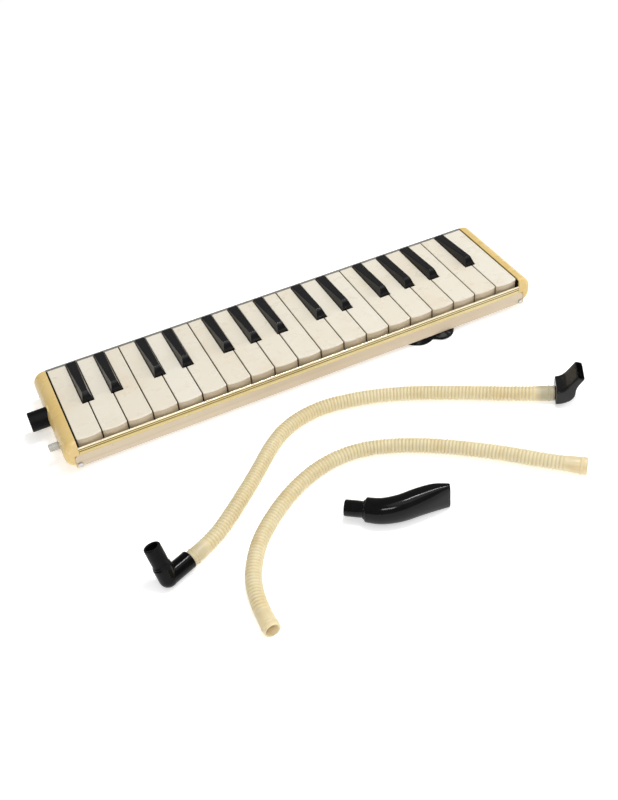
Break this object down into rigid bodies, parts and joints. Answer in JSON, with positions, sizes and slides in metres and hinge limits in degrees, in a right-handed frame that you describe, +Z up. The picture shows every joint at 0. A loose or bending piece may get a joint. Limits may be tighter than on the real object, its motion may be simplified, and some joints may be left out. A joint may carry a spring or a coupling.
{
  "type": "melodica",
  "caption": "Keyboard wind instrument with a blow socket at one end, shown with its corrugated blow hoses, a flat mouthpiece and a short curved mouthpiece.",
  "frame": {"origin": "on the table under the middle of the instrument's body", "axes": "+X along the keys towards the treble end, +Y from the front edge towards the rear, +Z up"},
  "size_m": [0.4391, 0.32, 0.037],
  "materials": {
    "cream_plastic": "glossy warm cream moulding",
    "cream_paint": "satin cream paint on sheet steel",
    "gold_trim": "gold anodised extrusion",
    "grey_rail": "light grey satin rail",
    "steel": "bright zinc plated steel",
    "soft_rubber": "soft black rubber",
    "grey_moulding": "dark grey moulding",
    "reed_metal": "plain aluminium plate",
    "reed_brass": "spring brass",
    "black_moulding": "black moulding",
    "felt": "dark red felt",
    "pale_plastic": "pale translucent plastic",
    "strap_vinyl": "glossy black vinyl",
    "hose_plastic": "pale yellow translucent soft plastic",
    "black_gloss": "polished black plastic",
    "ivory_plastic": "aged ivory plastic",
    "black_key_plastic": "glossy black plastic"
  },
  "bodies": {
    "instrument": {"left_end_cap": "cream_plastic", "right_end_cap": "cream_plastic", "front_cover": "cream_paint", "front_trim": "gold_trim", "rear_cover": "grey_rail", "bottom_plate": "steel", "body_screws": "steel", "rubber_feet": "soft_rubber", "reed_chamber": "grey_moulding", "reed_plate": "reed_metal", "reeds": "reed_brass", "chamber_gasket": "soft_rubber", "pivot_rod": "steel", "key_bed": "black_moulding", "key_springs": "steel", "stop_felt": "felt", "tone_board": "grey_moulding", "blow_socket": "black_moulding", "drain_spring": "steel", "hand_strap": "strap_vinyl", "strap_brackets": "steel"},
    "white_key_01_body": {"white_key_01": "ivory_plastic"},
    "white_key_02_body": {"white_key_02": "ivory_plastic"},
    "white_key_03_body": {"white_key_03": "ivory_plastic"},
    "white_key_04_body": {"white_key_04": "ivory_plastic"},
    "white_key_05_body": {"white_key_05": "ivory_plastic"},
    "white_key_06_body": {"white_key_06": "ivory_plastic"},
    "white_key_07_body": {"white_key_07": "ivory_plastic"},
    "white_key_08_body": {"white_key_08": "ivory_plastic"},
    "white_key_09_body": {"white_key_09": "ivory_plastic"},
    "white_key_10_body": {"white_key_10": "ivory_plastic"},
    "white_key_11_body": {"white_key_11": "ivory_plastic"},
    "white_key_12_body": {"white_key_12": "ivory_plastic"},
    "white_key_13_body": {"white_key_13": "ivory_plastic"},
    "white_key_14_body": {"white_key_14": "ivory_plastic"},
    "white_key_15_body": {"white_key_15": "ivory_plastic"},
    "white_key_16_body": {"white_key_16": "ivory_plastic"},
    "white_key_17_body": {"white_key_17": "ivory_plastic"},
    "white_key_18_body": {"white_key_18": "ivory_plastic"},
    "white_key_19_body": {"white_key_19": "ivory_plastic"},
    "black_key_01_body": {"black_key_01": "black_key_plastic"},
    "black_key_02_body": {"black_key_02": "black_key_plastic"},
    "black_key_03_body": {"black_key_03": "black_key_plastic"},
    "black_key_04_body": {"black_key_04": "black_key_plastic"},
    "black_key_05_body": {"black_key_05": "black_key_plastic"},
    "black_key_06_body": {"black_key_06": "black_key_plastic"},
    "black_key_07_body": {"black_key_07": "black_key_plastic"},
    "black_key_08_body": {"black_key_08": "black_key_plastic"},
    "black_key_09_body": {"black_key_09": "black_key_plastic"},
    "black_key_10_body": {"black_key_10": "black_key_plastic"},
    "black_key_11_body": {"black_key_11": "black_key_plastic"},
    "black_key_12_body": {"black_key_12": "black_key_plastic"},
    "black_key_13_body": {"black_key_13": "black_key_plastic"},
    "hose_set": {"playing_hose": "hose_plastic", "hose_elbow": "black_gloss", "flat_mouthpiece": "black_gloss"},
    "spare_hose_body": {"spare_hose": "hose_plastic"},
    "short_mouthpiece_body": {"short_mouthpiece": "black_gloss"},
    "drain_button_body": {"drain_button": "pale_plastic", "drain_seal": "soft_rubber"}
  },
  "joints": [
    {"name": "white_key_01_press", "type": "hinge", "parent": "instrument", "child": "white_key_01_body", "pos_m": [0, 0.022, 0.021], "axis": [1, 0, 0], "range_deg": [0, 4], "stiffness_Nm_per_rad": 0.14, "springref_deg": -20.05},
    {"name": "white_key_02_press", "type": "hinge", "parent": "instrument", "child": "white_key_02_body", "pos_m": [0, 0.022, 0.021], "axis": [1, 0, 0], "range_deg": [0, 4], "stiffness_Nm_per_rad": 0.14, "springref_deg": -20.05},
    {"name": "white_key_03_press", "type": "hinge", "parent": "instrument", "child": "white_key_03_body", "pos_m": [0, 0.022, 0.021], "axis": [1, 0, 0], "range_deg": [0, 4], "stiffness_Nm_per_rad": 0.14, "springref_deg": -20.05},
    {"name": "white_key_04_press", "type": "hinge", "parent": "instrument", "child": "white_key_04_body", "pos_m": [0, 0.022, 0.021], "axis": [1, 0, 0], "range_deg": [0, 4], "stiffness_Nm_per_rad": 0.14, "springref_deg": -20.05},
    {"name": "white_key_05_press", "type": "hinge", "parent": "instrument", "child": "white_key_05_body", "pos_m": [0, 0.022, 0.021], "axis": [1, 0, 0], "range_deg": [0, 4], "stiffness_Nm_per_rad": 0.14, "springref_deg": -20.05},
    {"name": "white_key_06_press", "type": "hinge", "parent": "instrument", "child": "white_key_06_body", "pos_m": [0, 0.022, 0.021], "axis": [1, 0, 0], "range_deg": [0, 4], "stiffness_Nm_per_rad": 0.14, "springref_deg": -20.05},
    {"name": "white_key_07_press", "type": "hinge", "parent": "instrument", "child": "white_key_07_body", "pos_m": [0, 0.022, 0.021], "axis": [1, 0, 0], "range_deg": [0, 4], "stiffness_Nm_per_rad": 0.14, "springref_deg": -20.05},
    {"name": "white_key_08_press", "type": "hinge", "parent": "instrument", "child": "white_key_08_body", "pos_m": [0, 0.022, 0.021], "axis": [1, 0, 0], "range_deg": [0, 4], "stiffness_Nm_per_rad": 0.14, "springref_deg": -20.05},
    {"name": "white_key_09_press", "type": "hinge", "parent": "instrument", "child": "white_key_09_body", "pos_m": [0, 0.022, 0.021], "axis": [1, 0, 0], "range_deg": [0, 4], "stiffness_Nm_per_rad": 0.14, "springref_deg": -20.05},
    {"name": "white_key_10_press", "type": "hinge", "parent": "instrument", "child": "white_key_10_body", "pos_m": [0, 0.022, 0.021], "axis": [1, 0, 0], "range_deg": [0, 4], "stiffness_Nm_per_rad": 0.14, "springref_deg": -20.05},
    {"name": "white_key_11_press", "type": "hinge", "parent": "instrument", "child": "white_key_11_body", "pos_m": [0, 0.022, 0.021], "axis": [1, 0, 0], "range_deg": [0, 4], "stiffness_Nm_per_rad": 0.14, "springref_deg": -20.05},
    {"name": "white_key_12_press", "type": "hinge", "parent": "instrument", "child": "white_key_12_body", "pos_m": [0, 0.022, 0.021], "axis": [1, 0, 0], "range_deg": [0, 4], "stiffness_Nm_per_rad": 0.14, "springref_deg": -20.05},
    {"name": "white_key_13_press", "type": "hinge", "parent": "instrument", "child": "white_key_13_body", "pos_m": [0, 0.022, 0.021], "axis": [1, 0, 0], "range_deg": [0, 4], "stiffness_Nm_per_rad": 0.14, "springref_deg": -20.05},
    {"name": "white_key_14_press", "type": "hinge", "parent": "instrument", "child": "white_key_14_body", "pos_m": [0, 0.022, 0.021], "axis": [1, 0, 0], "range_deg": [0, 4], "stiffness_Nm_per_rad": 0.14, "springref_deg": -20.05},
    {"name": "white_key_15_press", "type": "hinge", "parent": "instrument", "child": "white_key_15_body", "pos_m": [0, 0.022, 0.021], "axis": [1, 0, 0], "range_deg": [0, 4], "stiffness_Nm_per_rad": 0.14, "springref_deg": -20.05},
    {"name": "white_key_16_press", "type": "hinge", "parent": "instrument", "child": "white_key_16_body", "pos_m": [0, 0.022, 0.021], "axis": [1, 0, 0], "range_deg": [0, 4], "stiffness_Nm_per_rad": 0.14, "springref_deg": -20.05},
    {"name": "white_key_17_press", "type": "hinge", "parent": "instrument", "child": "white_key_17_body", "pos_m": [0, 0.022, 0.021], "axis": [1, 0, 0], "range_deg": [0, 4], "stiffness_Nm_per_rad": 0.14, "springref_deg": -20.05},
    {"name": "white_key_18_press", "type": "hinge", "parent": "instrument", "child": "white_key_18_body", "pos_m": [0, 0.022, 0.021], "axis": [1, 0, 0], "range_deg": [0, 4], "stiffness_Nm_per_rad": 0.14, "springref_deg": -20.05},
    {"name": "white_key_19_press", "type": "hinge", "parent": "instrument", "child": "white_key_19_body", "pos_m": [0, 0.022, 0.021], "axis": [1, 0, 0], "range_deg": [0, 4], "stiffness_Nm_per_rad": 0.14, "springref_deg": -20.05},
    {"name": "black_key_01_press", "type": "hinge", "parent": "instrument", "child": "black_key_01_body", "pos_m": [0, 0.022, 0.021], "axis": [1, 0, 0], "range_deg": [0, 4.3], "stiffness_Nm_per_rad": 0.14, "springref_deg": -20.05},
    {"name": "black_key_02_press", "type": "hinge", "parent": "instrument", "child": "black_key_02_body", "pos_m": [0, 0.022, 0.021], "axis": [1, 0, 0], "range_deg": [0, 4.3], "stiffness_Nm_per_rad": 0.14, "springref_deg": -20.05},
    {"name": "black_key_03_press", "type": "hinge", "parent": "instrument", "child": "black_key_03_body", "pos_m": [0, 0.022, 0.021], "axis": [1, 0, 0], "range_deg": [0, 4.3], "stiffness_Nm_per_rad": 0.14, "springref_deg": -20.05},
    {"name": "black_key_04_press", "type": "hinge", "parent": "instrument", "child": "black_key_04_body", "pos_m": [0, 0.022, 0.021], "axis": [1, 0, 0], "range_deg": [0, 4.3], "stiffness_Nm_per_rad": 0.14, "springref_deg": -20.05},
    {"name": "black_key_05_press", "type": "hinge", "parent": "instrument", "child": "black_key_05_body", "pos_m": [0, 0.022, 0.021], "axis": [1, 0, 0], "range_deg": [0, 4.3], "stiffness_Nm_per_rad": 0.14, "springref_deg": -20.05},
    {"name": "black_key_06_press", "type": "hinge", "parent": "instrument", "child": "black_key_06_body", "pos_m": [0, 0.022, 0.021], "axis": [1, 0, 0], "range_deg": [0, 4.3], "stiffness_Nm_per_rad": 0.14, "springref_deg": -20.05},
    {"name": "black_key_07_press", "type": "hinge", "parent": "instrument", "child": "black_key_07_body", "pos_m": [0, 0.022, 0.021], "axis": [1, 0, 0], "range_deg": [0, 4.3], "stiffness_Nm_per_rad": 0.14, "springref_deg": -20.05},
    {"name": "black_key_08_press", "type": "hinge", "parent": "instrument", "child": "black_key_08_body", "pos_m": [0, 0.022, 0.021], "axis": [1, 0, 0], "range_deg": [0, 4.3], "stiffness_Nm_per_rad": 0.14, "springref_deg": -20.05},
    {"name": "black_key_09_press", "type": "hinge", "parent": "instrument", "child": "black_key_09_body", "pos_m": [0, 0.022, 0.021], "axis": [1, 0, 0], "range_deg": [0, 4.3], "stiffness_Nm_per_rad": 0.14, "springref_deg": -20.05},
    {"name": "black_key_10_press", "type": "hinge", "parent": "instrument", "child": "black_key_10_body", "pos_m": [0, 0.022, 0.021], "axis": [1, 0, 0], "range_deg": [0, 4.3], "stiffness_Nm_per_rad": 0.14, "springref_deg": -20.05},
    {"name": "black_key_11_press", "type": "hinge", "parent": "instrument", "child": "black_key_11_body", "pos_m": [0, 0.022, 0.021], "axis": [1, 0, 0], "range_deg": [0, 4.3], "stiffness_Nm_per_rad": 0.14, "springref_deg": -20.05},
    {"name": "black_key_12_press", "type": "hinge", "parent": "instrument", "child": "black_key_12_body", "pos_m": [0, 0.022, 0.021], "axis": [1, 0, 0], "range_deg": [0, 4.3], "stiffness_Nm_per_rad": 0.14, "springref_deg": -20.05},
    {"name": "black_key_13_press", "type": "hinge", "parent": "instrument", "child": "black_key_13_body", "pos_m": [0, 0.022, 0.021], "axis": [1, 0, 0], "range_deg": [0, 4.3], "stiffness_Nm_per_rad": 0.14, "springref_deg": -20.05},
    {"name": "drain_press", "type": "slide", "parent": "instrument", "child": "drain_button_body", "axis": [1, 0, 0], "range_m": [0, 0.0026], "stiffness_N_per_m": 300, "springref_m": -0.004},
    {"name": "hose_set_lift", "type": "slide", "parent": "instrument", "child": "hose_set", "axis": [0, 0, 1], "range_m": [0, 0.06]},
    {"name": "spare_hose_lift", "type": "slide", "parent": "instrument", "child": "spare_hose_body", "axis": [0, 0, 1], "range_m": [0, 0.06]},
    {"name": "short_mouthpiece_lift", "type": "slide", "parent": "instrument", "child": "short_mouthpiece_body", "axis": [0, 0, 1], "range_m": [0, 0.06]}
  ]
}
